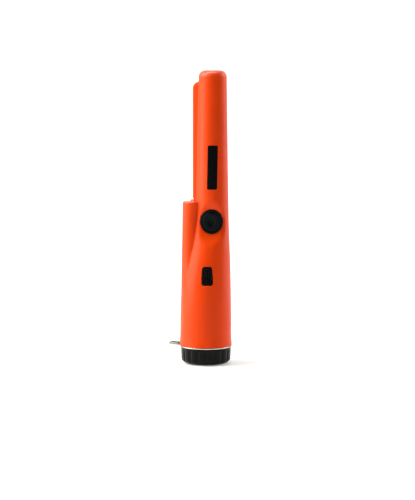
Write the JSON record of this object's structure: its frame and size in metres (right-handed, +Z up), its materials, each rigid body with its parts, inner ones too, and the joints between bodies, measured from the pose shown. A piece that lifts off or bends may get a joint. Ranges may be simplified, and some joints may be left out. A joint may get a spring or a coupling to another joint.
{
  "type": "pinpointer probe",
  "caption": "Hand-held metal pinpointer probe with a coil tip, scraping blade, lamp hump, press button, buzzer grille, lanyard ring and threaded battery cap.",
  "frame": {"origin": "centre of the battery cap's flat underside, which the probe stands on", "axes": "+Z up the probe to its tip, -Y out of the button's face, -X to the scraping blade and lamp hump"},
  "size_m": [0.0502, 0.042, 0.2325],
  "materials": {
    "orange_shell": "satin moulded ABS",
    "black_plastic": "satin moulded ABS",
    "black_gloss": "glossy",
    "black_rubber": "matt",
    "clear_lens": "clear moulded epoxy",
    "steel": "bright stamped sheet",
    "grey_plastic": "matt",
    "board_green": "solder resist",
    "chip_black": "moulded epoxy",
    "ferrite": "sintered",
    "copper": "enamelled winding",
    "foam": "open foam",
    "red_wire": "pvc",
    "black_wire": "pvc",
    "battery_shell": "printed steel can",
    "capacitor_blue": "shrink sleeve",
    "capacitor_brown": "dipped"
  },
  "bodies": {
    "housing_body": {"housing": "orange_shell", "blank_label": "black_gloss", "speaker_grille": "black_plastic", "button_bezel": "black_rubber", "switch_body": "chip_black", "chassis": "grey_plastic", "main_board": "board_green", "board_screw_lower": "steel", "board_screw_upper": "steel", "microcontroller": "chip_black", "amplifier_chip": "chip_black", "motor_driver_chip": "chip_black", "tuning_capacitor": "capacitor_brown", "voltage_regulator": "chip_black", "electrolytic_capacitor": "capacitor_blue", "buzzer_gasket": "foam", "piezo_buzzer": "chip_black", "buzzer_lead_red": "red_wire", "buzzer_lead_black": "black_wire", "ferrite_rod": "ferrite", "coil_former": "grey_plastic", "transmit_coil": "copper", "receive_coil": "copper", "transmit_coil_lead": "copper", "receive_coil_lead": "copper", "tip_cushion": "foam", "vibration_motor": "steel", "motor_pad": "foam", "motor_lead_red": "red_wire", "motor_lead_black": "black_wire", "lamp_led": "clear_lens", "lamp_lead_red": "red_wire", "lamp_lead_black": "black_wire", "battery_9v": "battery_shell", "battery_terminal_positive": "steel", "battery_terminal_negative": "steel", "snap_connector": "black_plastic", "battery_lead_red": "red_wire", "battery_lead_black": "black_wire"},
    "button_body": {"power_button": "black_rubber", "switch_plunger": "black_plastic"},
    "seal_body": {"cap_o_ring": "black_rubber"},
    "cap_body": {"battery_cap": "black_plastic", "battery_pad": "foam"},
    "ring_body": {"lanyard_ring": "steel"},
    "motor_weight_body": {"motor_weight": "steel"}
  },
  "joints": [
    {"name": "power_button_press", "type": "slide", "parent": "housing_body", "child": "button_body", "axis": [0, 1, 0], "range_m": [0, 0.0008], "stiffness_N_per_m": 2500, "springref_m": -0.0004},
    {"name": "cap_travel", "type": "slide", "parent": "housing_body", "child": "seal_body", "axis": [0, 0, -1], "range_m": [0, 0.006]},
    {"name": "battery_cap_turn", "type": "hinge", "parent": "seal_body", "child": "cap_body", "pos_m": [0, 0, 0], "axis": [0, 0, -1], "range_deg": [0, 720]},
    {"name": "lanyard_ring_swivel", "type": "hinge", "parent": "seal_body", "child": "ring_body", "pos_m": [0, 0, 0.01405], "axis": [0, 0, 1], "continuous": true},
    {"name": "motor_spin", "type": "hinge", "parent": "housing_body", "child": "motor_weight_body", "pos_m": [-0.0112, 0, 0.098], "axis": [0, 0, 1], "continuous": true}
  ],
  "couplings": [
    {"joint": "battery_cap_turn", "follows": "cap_travel", "rad_per_m": 2094.4}
  ]
}
